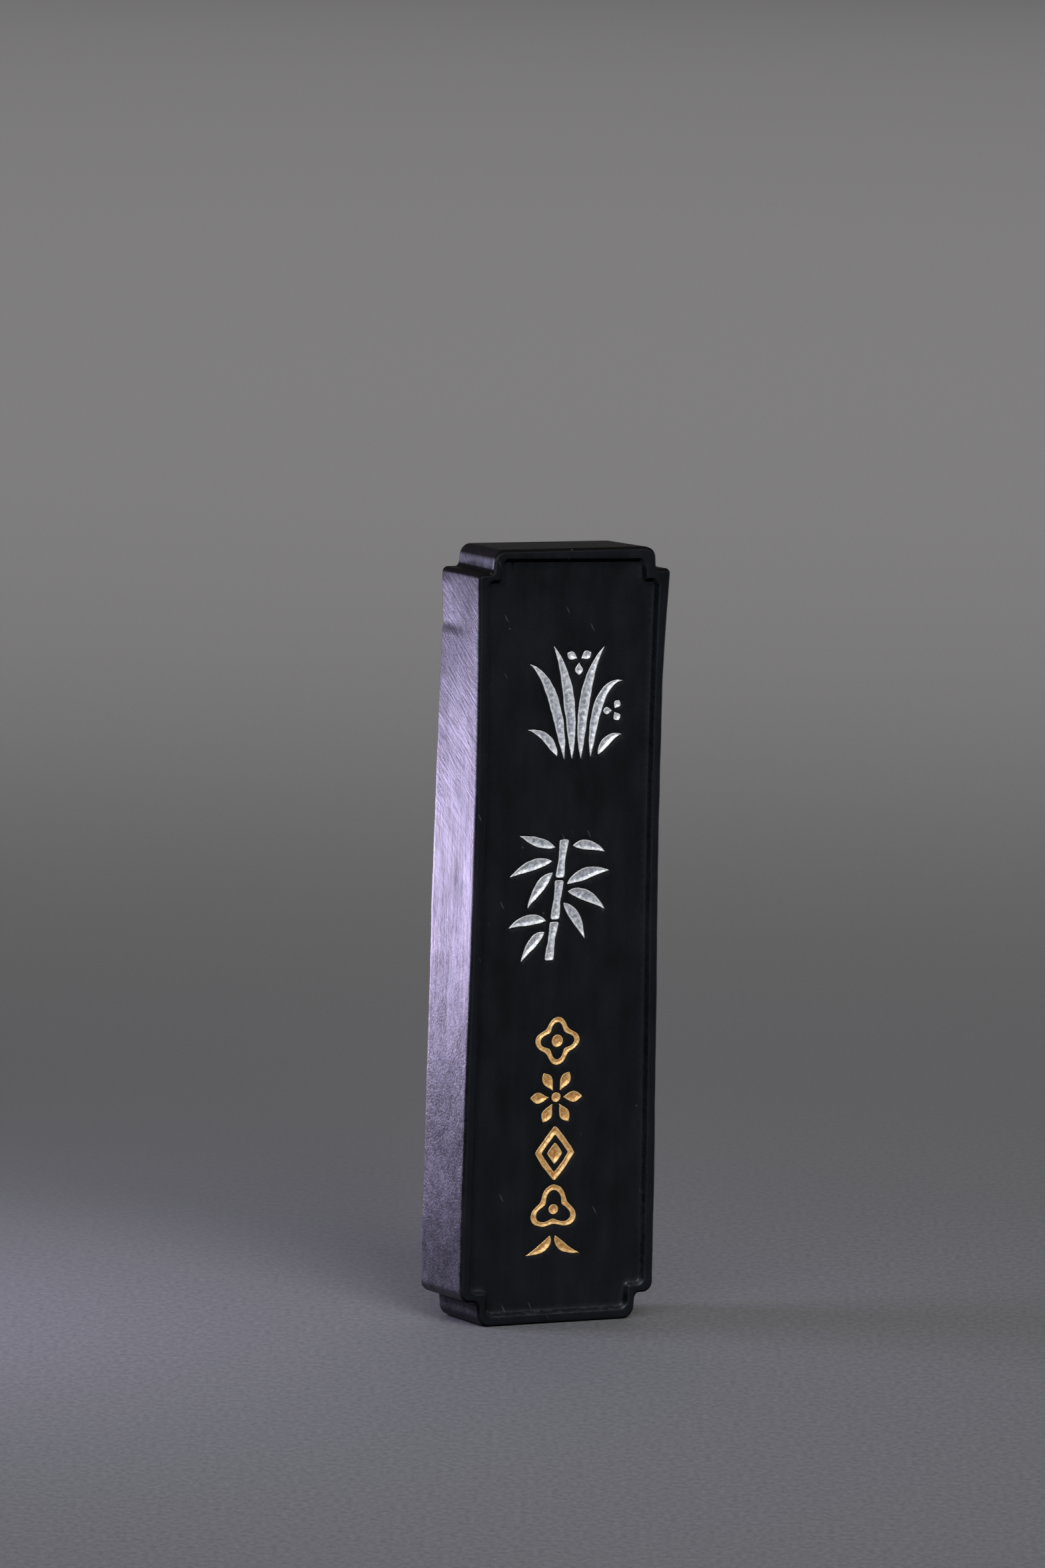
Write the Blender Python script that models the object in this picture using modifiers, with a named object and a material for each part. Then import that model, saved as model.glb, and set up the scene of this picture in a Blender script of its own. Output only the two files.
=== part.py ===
"""Ink stick: a moulded cake of black ink with notched corners, a raised rim, a sunk panel on each face,
and sprays and crests sunk in the front panel and filled with silver and gold pigment.

Metres, +Z up. The stick stands on its bottom end, centred on the origin, with its decorated face towards -Y.
Outlines are worked out in millimetres in the plane of the face, (x across, z up).
"""
import math

import bmesh
import bpy

MM = 0.001
WELD_DISTANCE = 1e-7

# Cake
HEIGHT = 90.0
THICKNESS = 9.6
BOTTOM_HALF_WIDTH = 12.6
TOP_HALF_WIDTH = 12.4
EDGE_ROUND = 0.4
EDGE_ROUND_STEPS = 3

# Drying warp: the front face is drawn in above its middle, the back face is barrelled
FRONT_WAIST = 0.5
FRONT_WAIST_RISE = 1.8
BACK_BULGE = 0.2
BACK_TOP_NARROWING = 0.3
BACK_FOOT_SPREAD = 0.45
SIDE_STEPS = 20

# Stepped corners of the cake, (across, up)
TOP_NOTCH = (1.95, 2.5)
BOTTOM_NOTCH = (2.3, 3.0)
NOTCH_SLANT = 0.2
SHOULDER_RADIUS = 1.0
NOTCH_RADIUS = 0.55
END_RADIUS = 1.1
ARC_STEPS = 6

# Sunk panels, measured at the panel floor
RIM = 1.65
PANEL_DEPTH = 0.6
PANEL_FLOOR = PANEL_DEPTH - THICKNESS / 2
PANEL_WALL_SLOPE = 0.42
PANEL_NOTCH_SHRINK = 0.3
PANEL_SHOULDER_RADIUS = 0.55
PANEL_NOTCH_RADIUS = 0.65
PANEL_END_RADIUS = 0.6

# Figures, sunk below the panel floor and filled with pigment
POCKET_DEPTH = 0.45
PIGMENT_THICKNESS = 0.3
FIT_GAP = 0.03
TIP_GAP_LIMIT = 3.0
LEAF_STEPS = 10

ORCHID_CENTRE = (0.9, 72.4)
BAMBOO_CENTRE = (-0.7, 49.7)
QUATREFOIL_CENTRE = (-0.4, 33.0)
ROSETTE_CENTRE = (-0.4, 26.4)
LOZENGE_CENTRE = (-0.4, 19.85)
CLOUD_CENTRE = (-0.4, 11.9)
GOLD_LINE = 0.62


# ---------------------------------------------------------------- outlines

def rounded(corners):
    """Closed outline through (x, z, radius) corners, each replaced by a tangent arc."""
    outline = []
    count = len(corners)
    for index, (x, z, radius) in enumerate(corners):
        before = corners[index - 1]
        after = corners[(index + 1) % count]
        to_before = math.atan2(before[1] - z, before[0] - x)
        to_after = math.atan2(after[1] - z, after[0] - x)
        turn = (to_after - to_before + math.pi) % math.tau - math.pi
        half = abs(turn) / 2
        bisector = to_before + turn / 2
        reach = radius / math.sin(half)
        cx = x + reach * math.cos(bisector)
        cz = z + reach * math.sin(bisector)
        sweep = math.copysign(math.pi - 2 * half, turn)
        start = bisector + math.pi + sweep / 2
        for step in range(ARC_STEPS + 1):
            angle = start - sweep * step / ARC_STEPS
            outline.append((cx + radius * math.cos(angle), cz + radius * math.sin(angle)))
    return outline


def notched_outline(half_width, low, high, top_notch, bottom_notch, radii):
    """Upright oblong with a step in each corner, anticlockwise from the bottom right."""
    shoulder, inner, end = radii
    right = []
    across, up = bottom_notch
    right.append((half_width - across - NOTCH_SLANT, low, end))
    right.append((half_width - across, low + up, inner))
    right.append((half_width, low + up, shoulder))
    across, up = top_notch
    right.append((half_width, high - up, shoulder))
    right.append((half_width - across, high - up, inner))
    right.append((half_width - across - NOTCH_SLANT, high, end))
    left = [(-x, z, radius) for x, z, radius in reversed(right)]
    return with_side_points(rounded(right + left))


def with_side_points(outline):
    """Adds evenly spaced points along the two long sides."""
    filled = []
    for index, point in enumerate(outline):
        before = outline[index - 1]
        if abs(point[1] - before[1]) > HEIGHT / 2:
            for step in range(1, SIDE_STEPS):
                share = step / SIDE_STEPS
                filled.append((before[0], before[1] + (point[1] - before[1]) * share))
        filled.append(point)
    return filled


def straight_half_width(z):
    """Half width of the cake at height z before it warps."""
    return BOTTOM_HALF_WIDTH + (TOP_HALF_WIDTH - BOTTOM_HALF_WIDTH) * z / HEIGHT


def front_half_width(z):
    """Half width of the front face at height z."""
    waist = math.sin(math.pi * max(z / HEIGHT, 0.0) ** FRONT_WAIST_RISE)
    return straight_half_width(z) - FRONT_WAIST * waist


def back_half_width(z):
    """Half width of the back face at height z."""
    share = z / HEIGHT
    bulge = BACK_BULGE * math.sin(math.pi * share) + BACK_FOOT_SPREAD * (1 - share) ** 3
    return straight_half_width(z) + bulge - BACK_TOP_NARROWING * share ** 3


def widened(outline, half_width_at):
    """Outline drawn at the bottom half width, fitted across to a half width given by height."""
    return [(x * half_width_at(z) / BOTTOM_HALF_WIDTH, z) for x, z in outline]


def cake_outline():
    """Outline of the whole cake, unwarped."""
    radii = (SHOULDER_RADIUS, NOTCH_RADIUS, END_RADIUS)
    return notched_outline(BOTTOM_HALF_WIDTH, 0.0, HEIGHT, TOP_NOTCH, BOTTOM_NOTCH, radii)


def panel_outline():
    """Outline of a panel floor, unwarped."""
    radii = (PANEL_SHOULDER_RADIUS, PANEL_NOTCH_RADIUS, PANEL_END_RADIUS)
    top = [size - PANEL_NOTCH_SHRINK for size in TOP_NOTCH]
    bottom = [size - PANEL_NOTCH_SHRINK for size in BOTTOM_NOTCH]
    return notched_outline(BOTTOM_HALF_WIDTH - RIM, RIM, HEIGHT - RIM, top, bottom, radii)


def leaf(start, bend, tip, width, fullness):
    """Pointed leaf along a curved centre line; fullness below 1 puts the widest part near the start."""
    one_side = []
    other_side = []
    for step in range(1, LEAF_STEPS):
        t = step / LEAF_STEPS
        x = (1 - t) ** 2 * start[0] + 2 * t * (1 - t) * bend[0] + t * t * tip[0]
        z = (1 - t) ** 2 * start[1] + 2 * t * (1 - t) * bend[1] + t * t * tip[1]
        dx = (1 - t) * (bend[0] - start[0]) + t * (tip[0] - bend[0])
        dz = (1 - t) * (bend[1] - start[1]) + t * (tip[1] - bend[1])
        reach = 0.5 * width * math.sin(math.pi * t ** fullness) / math.hypot(dx, dz)
        one_side.append((x + dz * reach, z - dx * reach))
        other_side.append((x - dz * reach, z + dx * reach))
    return [start] + one_side + [tip] + other_side[::-1]


def petal(centre, angle, inner, outer, width):
    """Straight petal pointing away from a centre, widest towards its outer end."""
    way = (math.cos(angle), math.sin(angle))
    middle = (inner + outer) / 2
    start, bend, tip = [(centre[0] + r * way[0], centre[1] + r * way[1]) for r in (inner, middle, outer)]
    return leaf(start, bend, tip, width, 1.3)


def lobed(centre, radius, depth, lobes, turn, stretch, steps):
    """Closed wavy ring around a centre; no depth gives a circle, stretch is (across, up)."""
    outline = []
    for step in range(steps):
        angle = math.tau * step / steps
        reach = radius + depth * math.cos(lobes * (angle - turn))
        x = centre[0] + stretch[0] * reach * math.cos(angle)
        outline.append((x, centre[1] + stretch[1] * reach * math.sin(angle)))
    return outline


def grown(outline, gap):
    """Anticlockwise outline pushed outwards by a gap, with the push at sharp tips limited."""
    result = []
    count = len(outline)
    for index, (x, z) in enumerate(outline):
        before = outline[index - 1]
        after = outline[(index + 1) % count]
        first = math.hypot(x - before[0], z - before[1])
        second = math.hypot(after[0] - x, after[1] - z)
        nx = (z - before[1]) / first + (after[1] - z) / second
        nz = (before[0] - x) / first + (x - after[0]) / second
        length = math.hypot(nx, nz)
        push = gap * min(2 / length, TIP_GAP_LIMIT) / length
        result.append((x + nx * push, z + nz * push))
    return result


# ---------------------------------------------------------------- figures

def orchid():
    """Orchid spray: arching blades from one root, with two open flowers."""
    blades = (
        ((-2.3, -6.2), (-3.3, -3.4), (-6.1, -3.0), 1.0),
        ((-1.3, -6.6), (-2.6, 3.0), (-6.0, 4.6), 1.25),
        ((-0.3, -6.6), (-0.5, 3.0), (-3.0, 6.6), 1.3),
        ((0.85, -6.6), (0.6, 2.6), (3.6, 6.4), 1.25),
        ((2.1, -6.4), (2.45, 2.5), (6.1, 2.4), 1.1),
        ((3.1, -6.2), (4.2, -3.9), (6.1, -3.9), 1.0),
    )
    shapes = {}
    for number, (start, bend, tip, width) in enumerate(blades, 1):
        shapes[f"orchid_blade_{number}"] = [leaf(start, bend, tip, width, 0.75)]
    for number, degrees in enumerate((30, 150, 270), 1):
        shapes[f"orchid_petal_{number}"] = [petal((0.35, 4.9), math.radians(degrees), 0.3, 1.75, 1.0)]
    for number, degrees in enumerate((60, 180, 300), 4):
        shapes[f"orchid_petal_{number}"] = [petal((5.0, -1.1), math.radians(degrees), 0.25, 1.35, 0.85)]
    return shapes


def bamboo():
    """Bamboo spray: a jointed stem with leaves in small groups."""
    shapes = {}
    joints = ((-1.1, -7.4), (-0.45, -2.6), (0.1, 2.2), (0.6, 6.9))
    for number in range(3):
        low = joints[number]
        high = joints[number + 1]
        shapes[f"bamboo_stem_{number + 1}"] = [stem(low, high)]
    leaves = (
        ((-0.6, 5.9), (-3.0, 6.6), (-5.2, 7.4), 1.1),
        ((-0.95, 4.3), (-3.6, 4.3), (-6.4, 2.6), 1.25),
        ((-0.85, 3.0), (-2.6, 1.6), (-4.0, -1.1), 1.2),
        ((1.7, 6.0), (3.8, 6.4), (5.9, 5.2), 1.15),
        ((1.05, 1.6), (3.8, 3.3), (6.5, 3.0), 1.3),
        ((1.2, 0.7), (3.8, 0.6), (6.0, -1.5), 1.3),
        ((0.65, -0.6), (2.4, -2.0), (3.5, -4.9), 1.2),
        ((-1.6, -2.6), (-4.0, -2.0), (-6.4, -3.3), 1.25),
        ((-1.75, -3.9), (-3.4, -4.9), (-4.7, -7.3), 1.15),
    )
    for number, (start, bend, tip, width) in enumerate(leaves, 1):
        shapes[f"bamboo_leaf_{number}"] = [leaf(start, bend, tip, width, 0.8)]
    return shapes


def stem(low, high):
    """One length of bamboo stem between two joints, narrow in the middle."""
    end_gap = 0.17
    end_half = 0.55
    middle_half = 0.4
    corner = 0.2
    lean = (high[0] - low[0]) / (high[1] - low[1])
    bottom = low[1] + end_gap
    top = high[1] - end_gap
    centre = (bottom + top) / 2
    corners = []
    for z, half, radius in ((bottom, end_half, corner), (centre, middle_half, 2.0), (top, end_half, corner)):
        corners.append((low[0] + lean * (z - low[1]) + half, z, radius))
    for z, half, radius in ((top, end_half, corner), (centre, middle_half, 2.0), (bottom, end_half, corner)):
        corners.append((low[0] + lean * (z - low[1]) - half, z, radius))
    return rounded(corners)


def quatrefoil():
    """Four-lobed ring with a round boss."""
    ring = lobed((0, 0), 2.4, 0.4, 4, 0.0, (1.02, 1.0), 48)
    hole = lobed((0, 0), 2.4 - GOLD_LINE, 0.4, 4, 0.0, (1.02, 1.0), 48)
    boss = lobed((0, 0), 0.72, 0.0, 1, 0.0, (1.0, 1.0), 20)
    shapes = {"quatrefoil_ring": [ring, hole], "quatrefoil_boss": [boss]}
    return shapes


def rosette():
    """Six petals round a boss."""
    shapes = {"rosette_boss": [lobed((0, 0), 0.55, 0.0, 1, 0.0, (1.0, 1.0), 18)]}
    for number in range(6):
        angle = math.tau * number / 6
        shapes[f"rosette_petal_{number + 1}"] = [petal((0, 0), angle, 0.9, 3.35, 1.25)]
    return shapes


def lozenge():
    """Upright lozenge ring around a smaller lozenge."""
    shapes = {"lozenge_ring": [diamond(2.6, 3.3, 0.3), diamond(1.75, 2.25, 0.2)]}
    shapes["lozenge_boss"] = [diamond(0.95, 1.3, 0.12)]
    return shapes


def diamond(half_across, half_up, radius):
    """Diamond with rounded points."""
    points = ((half_across, 0), (0, half_up), (-half_across, 0), (0, -half_up))
    return rounded([(x, z, radius) for x, z in points])


def cloud():
    """Three-lobed cloud ring with a boss, over two trailing wisps."""
    centre = (0, 1.4)
    ring = lobed(centre, 2.3, 0.55, 3, math.pi / 2, (1.12, 1.0), 48)
    hole = lobed(centre, 2.3 - GOLD_LINE, 0.55, 3, math.pi / 2, (1.12, 1.0), 48)
    shapes = {"cloud_ring": [ring, hole]}
    shapes["cloud_boss"] = [lobed(centre, 0.6, 0.0, 1, 0.0, (1.0, 1.0), 18)]
    for number, side in enumerate((-1, 1), 1):
        wisp = leaf((side * 0.35, -1.7), (side * 0.7, -3.3), (side * 3.5, -3.9), 1.0, 0.85)
        shapes[f"cloud_wisp_{number}"] = [wisp]
    return shapes


# ---------------------------------------------------------------- solids

def signed_area(loop):
    """Twice the area inside a loop, positive when it runs anticlockwise."""
    return sum(loop[i - 1][0] * loop[i][1] - loop[i][0] * loop[i - 1][1] for i in range(len(loop)))


def anticlockwise(loop):
    """The loop in anticlockwise order."""
    return loop if signed_area(loop) > 0 else loop[::-1]


def empty(name, location, parent, collection):
    """Empty that carries the pieces of one figure."""
    holder = bpy.data.objects.new(name, None)
    holder.location = location
    holder.parent = parent
    collection.objects.link(holder)
    return holder


def slab(name, loops, near, far, slope, parent, collection):
    """Flat solid with the given outlines, from depth near to depth far along Y, with sloped edges.

    Its own X and Y are across and up the face, and its own Z points out of the front.
    """
    curve = bpy.data.curves.new(name, "CURVE")
    curve.dimensions = "2D"
    curve.fill_mode = "BOTH"
    curve.extrude = ((far - near) / 2 - slope) * MM
    curve.bevel_depth = slope * MM
    curve.bevel_resolution = 0
    for loop in loops:
        spline = curve.splines.new("POLY")
        spline.points.add(len(loop) - 1)
        for point, (x, z) in zip(spline.points, loop):
            point.co = (x * MM, z * MM, 0.0, 1.0)
        spline.use_cyclic_u = True
    drawn = bpy.data.objects.new(name + "_drawn", curve)
    collection.objects.link(drawn)
    bpy.context.view_layer.update()
    mesh = bpy.data.meshes.new_from_object(drawn.evaluated_get(bpy.context.evaluated_depsgraph_get()))
    bpy.data.objects.remove(drawn)
    weld(mesh)
    solid = bpy.data.objects.new(name, mesh)
    solid.location.z = -(near + far) / 2 * MM
    solid.parent = parent
    collection.objects.link(solid)
    return solid


def is_cap(face):
    """Whether a face lies flat across the thickness."""
    depths = [vertex.co.z for vertex in face.verts]
    return max(depths) - min(depths) < WELD_DISTANCE


def weld(mesh):
    """Joins the caps of a mesh to its walls, makes each flat cap one face and turns faces outwards."""
    work = bmesh.new()
    work.from_mesh(mesh)
    bmesh.ops.remove_doubles(work, verts=work.verts, dist=WELD_DISTANCE)
    inner = [edge for edge in work.edges if all(is_cap(face) for face in edge.link_faces)]
    bmesh.ops.dissolve_limit(work, angle_limit=math.pi, verts=[], edges=inner)
    bmesh.ops.recalc_face_normals(work, faces=work.faces)
    work.to_mesh(mesh)
    work.free()


def material(name, colour, roughness, metallic):
    """Plain Principled material."""
    made = bpy.data.materials.new(name)
    made.use_nodes = True
    shader = made.node_tree.nodes["Principled BSDF"]
    shader.inputs["Base Color"].default_value = (*colour, 1.0)
    shader.inputs["Roughness"].default_value = roughness
    shader.inputs["Metallic"].default_value = metallic
    return made


def ink_material(name):
    """Satin black ink."""
    return material(name + "_ink", (0.012, 0.012, 0.015), 0.4, 0.0)


def silver_material(name):
    """Brushed-on silver pigment."""
    return material(name + "_silver", (0.62, 0.64, 0.68), 0.45, 0.85)


def gold_material(name):
    """Brushed-on gold pigment."""
    return material(name + "_gold", (0.72, 0.42, 0.13), 0.42, 0.85)


def cut(solid, cutter):
    """Takes a cutter out of a solid."""
    boolean = solid.modifiers.new("cut_" + cutter.name, "BOOLEAN")
    boolean.operation = "DIFFERENCE"
    boolean.solver = "EXACT"
    boolean.object = cutter


def ink_body(upright, collection):
    """Whole cake with rounded edges, before anything is sunk in it."""
    half = THICKNESS / 2
    outline = widened(cake_outline(), front_half_width)
    body = slab("ink_body", [outline], -half, half, 0.0, upright, collection)
    for vertex in body.data.vertices:
        if vertex.co.z < 0:
            height = vertex.co.y / MM
            vertex.co.x *= back_half_width(height) / front_half_width(height)
    bevel = body.modifiers.new("rounded_edges", "BEVEL")
    bevel.width = EDGE_ROUND * MM
    bevel.segments = EDGE_ROUND_STEPS
    bevel.limit_method = "ANGLE"
    bevel.angle_limit = math.radians(50)
    body.data.materials.append(ink_material(body.name))
    return body


def panel_cutter(name, side, half_width_at, upright, cutters):
    """Cutter for the sunk panel on the front (side -1) or the back (side 1)."""
    floor = side * (THICKNESS / 2 - PANEL_DEPTH)
    clear = floor + side * THICKNESS / 2
    loops = [widened(panel_outline(), half_width_at)]
    return slab(name, loops, min(floor, clear), max(floor, clear), PANEL_WALL_SLOPE, upright, cutters)


def pocket_cutter(name, shapes, holder, cutters):
    """Cutter for the pockets of one figure, a little wider than the pigment."""
    loops = []
    for outline, *holes in shapes.values():
        loops.append(grown(anticlockwise(outline), FIT_GAP))
        loops.extend(grown(anticlockwise(hole), -FIT_GAP) for hole in holes)
    return slab(name, loops, PANEL_FLOOR - POCKET_DEPTH, PANEL_FLOOR + POCKET_DEPTH, 0.0, holder, cutters)


def pigment(name, loops, made, holder, collection):
    """One fill of pigment, lying on the floor of its pocket."""
    bottom = PANEL_FLOOR + POCKET_DEPTH - FIT_GAP
    outlines = [anticlockwise(loop) for loop in loops]
    fill = slab(name, outlines, bottom - PIGMENT_THICKNESS, bottom, 0.0, holder, collection)
    fill.data.materials.append(made)


def main():
    for item in list(bpy.data.objects):
        bpy.data.objects.remove(item)
    collection = bpy.data.collections.new("ink_stick")
    cutters = bpy.data.collections.new("cutters")
    bpy.context.scene.collection.children.link(collection)
    bpy.context.scene.collection.children.link(cutters)

    upright = empty("upright", (0.0, 0.0, 0.0), None, collection)
    upright.rotation_euler.x = math.pi / 2
    body = ink_body(upright, collection)
    cut(body, panel_cutter("front_panel_cutter", -1, front_half_width, upright, cutters))
    cut(body, panel_cutter("back_panel_cutter", 1, back_half_width, upright, cutters))

    figures = (
        ("orchid", orchid, ORCHID_CENTRE, silver_material),
        ("bamboo", bamboo, BAMBOO_CENTRE, silver_material),
        ("quatrefoil", quatrefoil, QUATREFOIL_CENTRE, gold_material),
        ("rosette", rosette, ROSETTE_CENTRE, gold_material),
        ("lozenge", lozenge, LOZENGE_CENTRE, gold_material),
        ("cloud", cloud, CLOUD_CENTRE, gold_material),
    )
    for name, draw, (across, up), colour in figures:
        holder = empty(name, (across * MM, up * MM, 0.0), upright, collection)
        shapes = draw()
        cut(body, pocket_cutter(name + "_cutter", shapes, holder, cutters))
        for piece, loops in shapes.items():
            pigment(piece, loops, colour(piece), holder, collection)

    for cutter in cutters.objects:
        cutter.hide_render = True
        cutter.display_type = "WIRE"


main()
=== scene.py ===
"""Looks of the ink stick: fine ink cake, painted figures, materials, floor, lights and camera."""
import math

import bpy
import numpy as np
from mathutils import Matrix, Vector, noise
from mathutils.geometry import delaunay_2d_cdt


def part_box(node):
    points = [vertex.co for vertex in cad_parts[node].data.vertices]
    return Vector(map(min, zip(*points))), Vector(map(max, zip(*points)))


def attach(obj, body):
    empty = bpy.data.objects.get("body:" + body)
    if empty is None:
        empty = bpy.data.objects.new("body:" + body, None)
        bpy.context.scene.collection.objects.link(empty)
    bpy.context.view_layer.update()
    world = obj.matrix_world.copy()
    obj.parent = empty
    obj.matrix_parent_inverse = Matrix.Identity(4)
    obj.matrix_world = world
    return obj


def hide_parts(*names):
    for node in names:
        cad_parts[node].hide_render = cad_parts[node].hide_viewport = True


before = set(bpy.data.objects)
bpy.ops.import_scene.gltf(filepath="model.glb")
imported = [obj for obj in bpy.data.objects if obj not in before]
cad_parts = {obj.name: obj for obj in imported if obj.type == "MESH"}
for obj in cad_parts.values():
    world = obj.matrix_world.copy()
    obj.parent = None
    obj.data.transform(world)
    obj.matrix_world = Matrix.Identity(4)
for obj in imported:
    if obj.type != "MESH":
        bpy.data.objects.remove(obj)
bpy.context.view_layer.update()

MM = 0.001

# ---------------------------------------------------------------- sizes, in millimetres
BODY_LOW, BODY_HIGH = (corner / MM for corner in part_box("ink_body"))
HEIGHT = BODY_HIGH.z
THICKNESS = BODY_HIGH.y - BODY_LOW.y
FRONT = BODY_LOW.y
BOTTOM_HALF_WIDTH = 12.6
TOP_HALF_WIDTH = 12.4

# Drying warp: the front face is drawn in above its middle, the back face is barrelled
FRONT_WAIST = 0.5
FRONT_WAIST_RISE = 1.8
BACK_BULGE = 0.2
BACK_TOP_NARROWING = 0.3
BACK_FOOT_SPREAD = 0.45

# Stepped corners of the cake: notches as (across, up), radii as (shoulder, inner, end)
TOP_NOTCH = (1.95, 2.5)
BOTTOM_NOTCH = (2.3, 3.0)
NOTCH_SLANT = 0.2
CAKE_TOP_RADII = (0.65, 0.55, 1.4)
CAKE_BOTTOM_RADII = (1.3, 0.7, 1.5)
EDGE_ROUND = 0.4

# Unevenness from the mould and from drying; waves are (x, y, z) per millimetre
SIDE_SWELL = 0.05
SIDE_SWELL_WAVES = (1, 0.12, 0.075)
SIDE_RIPPLE = 0.0175
SIDE_RIPPLE_WAVES = (1, 0.45, 0.3)
SIDES_APART = 40
MOULD_LEDGE = 0.1
MOULD_LEDGE_Z = 80.8
MOULD_LEDGE_HEIGHT = 0.35
BACK_LEFT_HOLLOW = 0.12
HOLLOW_END = 3
RIGHT_TOP_FLARE = 0.42
FLARE_CURVE = 1.5
RIGHT_NOTCH_SHIFT = 0.33
FRONT_TOP_LIFT = 0.3
LEFT_TOP_LIFT = 0.3

# Where these start and where they are full
ON_SIDE_SHARE = (0.9, 0.96)
BACK_DEPTH = (-1.5, 2.5)
HOLLOW_Z = (62, 78)
HOLLOW_END_Z = (81, 86)
FLARE_Z = (74, 90)
LIFT_Z = (84, 90)
NOTCH_WALL_X = (9, 10.2)
NOTCH_WALL_END_X = (12.2, 11.5)
NOTCH_WALL_Z = (86.5, 87.3)

# Sunk panel, radii as (shoulder, inner, end)
RIM = 1.65
TOP_RIM = 1.61
PANEL_TOP_TILT = 0.22
PANEL_TILT_Z = (80, 88)
PANEL_DEPTH = 0.6
PANEL_WALL = 0.55
PANEL_NOTCH_SHRINK = 0.3
PANEL_RADII = (0.55, 0.65, 0.6)
PANEL_FLOOR = FRONT + PANEL_DEPTH

# Pockets and paint; the lip is rolled through (gap around the paint, drop) steps
POCKET_DEPTH = 0.45
LIP_PROFILE = ((0.12, 0.0), (0.09, 0.01), (0.065, 0.03), (0.045, 0.07), (0.033, 0.13))
TIP_REACH = 1.3
PAINT_EDGE = 0.035
PAINT_DEPTH = 0.3
PAINT_SLOPE = 0.42
PAINT_BOTTOM = 0.43
PAINT_RIPPLE = 0.035
PAINT_WAVES = 2.3
PAINT_CALM_EDGE = 0.12
PAINT_FIRST_SEED = 100
EDGE_WANDER = 0.03
EDGE_WAVES = 1.1

# Mesh fineness
ARC_STEPS = 14
SIDE_STEPS = 200
END_STEPS = 50
NOTCH_STEPS = 3
EDGE_RINGS = 6
RIM_RINGS = (0.25, 0.5, 0.75)
PANEL_WALL_RINGS = 8
SIDE_WALL_RINGS = 25
FLOOR_SPACING = 0.55
POCKET_SPACING = 1.5
PAINT_SPACING = 0.11
PAINT_OUTLINE_SPACING = 0.16
CLEAR_OF_LOOPS = 0.6
GRID_SHUFFLE = 0.12
GRID_ROW_STEP = 0.87

# Tolerances, and the cosine of a turn below which a corner stays sharp
WELD = 1e-7
TINY = 1e-12
SAME_FACE = 0.01
SHARP_CORNER = 0.5

# How far apart the noise of two neighbouring seeds is taken
WAVE_SHIFT = (17.3, 5.1, 9.7)


# ---------------------------------------------------------------- outlines

def notched_outline(half_width, low, high, top_notch, bottom_notch, top_radii, bottom_radii):
    """Upright oblong with a step in each corner, as an (n, 2) array of (x, z), anticlockwise."""
    right = []
    shoulder, inner, end = bottom_radii
    across, up = bottom_notch
    right.append((half_width - across - NOTCH_SLANT, low, end, NOTCH_STEPS))
    right.append((half_width - across, low + up, inner, NOTCH_STEPS))
    right.append((half_width, low + up, shoulder, SIDE_STEPS))
    shoulder, inner, end = top_radii
    across, up = top_notch
    right.append((half_width, high - up, shoulder, NOTCH_STEPS))
    right.append((half_width - across, high - up, inner, NOTCH_STEPS))
    right.append((half_width - across - NOTCH_SLANT, high, end, END_STEPS))
    runs = [corner[3] for corner in right]
    left_runs = runs[-2::-1] + [END_STEPS]
    left = [(-x, z, radius, run) for (x, z, radius, _), run in zip(reversed(right), left_runs)]
    return rounded(right + left)


def rounded(corners):
    """Outline through (x, z, radius, steps to the next corner) corners with tangent arcs."""
    arcs = []
    count = len(corners)
    for index, (x, z, radius, _) in enumerate(corners):
        before = corners[index - 1]
        after = corners[(index + 1) % count]
        to_before = math.atan2(before[1] - z, before[0] - x)
        to_after = math.atan2(after[1] - z, after[0] - x)
        turn = (to_after - to_before + math.pi) % math.tau - math.pi
        half = abs(turn) / 2
        bisector = to_before + turn / 2
        reach = radius / math.sin(half)
        centre = np.array((x + reach * math.cos(bisector), z + reach * math.sin(bisector)))
        sweep = math.copysign(math.pi - 2 * half, turn)
        angles = bisector + math.pi + sweep / 2 - sweep * np.linspace(0, 1, ARC_STEPS + 1)
        arcs.append(centre + radius * np.stack((np.cos(angles), np.sin(angles)), 1))
    outline = []
    for index, arc in enumerate(arcs):
        steps = corners[index][3]
        shares = np.arange(1, steps)[:, None] / steps
        outline.append(arc)
        outline.append(arc[-1] + (arcs[(index + 1) % count][0] - arc[-1]) * shares)
    return np.concatenate(outline)


def ramp(value, start, full):
    """0 up to start, 1 from full on, and a straight rise between."""
    return np.clip((value - start) / (full - start), 0, 1)


def straight_half_width(z):
    """Half width at height z before the cake warps."""
    return BOTTOM_HALF_WIDTH + (TOP_HALF_WIDTH - BOTTOM_HALF_WIDTH) * z / HEIGHT


def front_half_width(z):
    """Half width of the front face at height z."""
    share = np.clip(z / HEIGHT, 0, 1)
    return straight_half_width(z) - FRONT_WAIST * np.sin(np.pi * share ** FRONT_WAIST_RISE)


def back_half_width(z):
    """Half width of the back face at height z."""
    share = z / HEIGHT
    bulge = BACK_BULGE * np.sin(np.pi * share) + BACK_FOOT_SPREAD * (1 - share) ** 3
    return straight_half_width(z) + bulge - BACK_TOP_NARROWING * share ** 3


def warped(outline, depth):
    """Unwarped outline placed at a depth y through the cake, as (n, 3) points."""
    x, z = outline.T
    share = (depth - FRONT) / THICKNESS
    half = front_half_width(z) * (1 - share) + back_half_width(z) * share
    return np.stack((x * half / BOTTOM_HALF_WIDTH, np.full(len(x), depth), z), 1)


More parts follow.
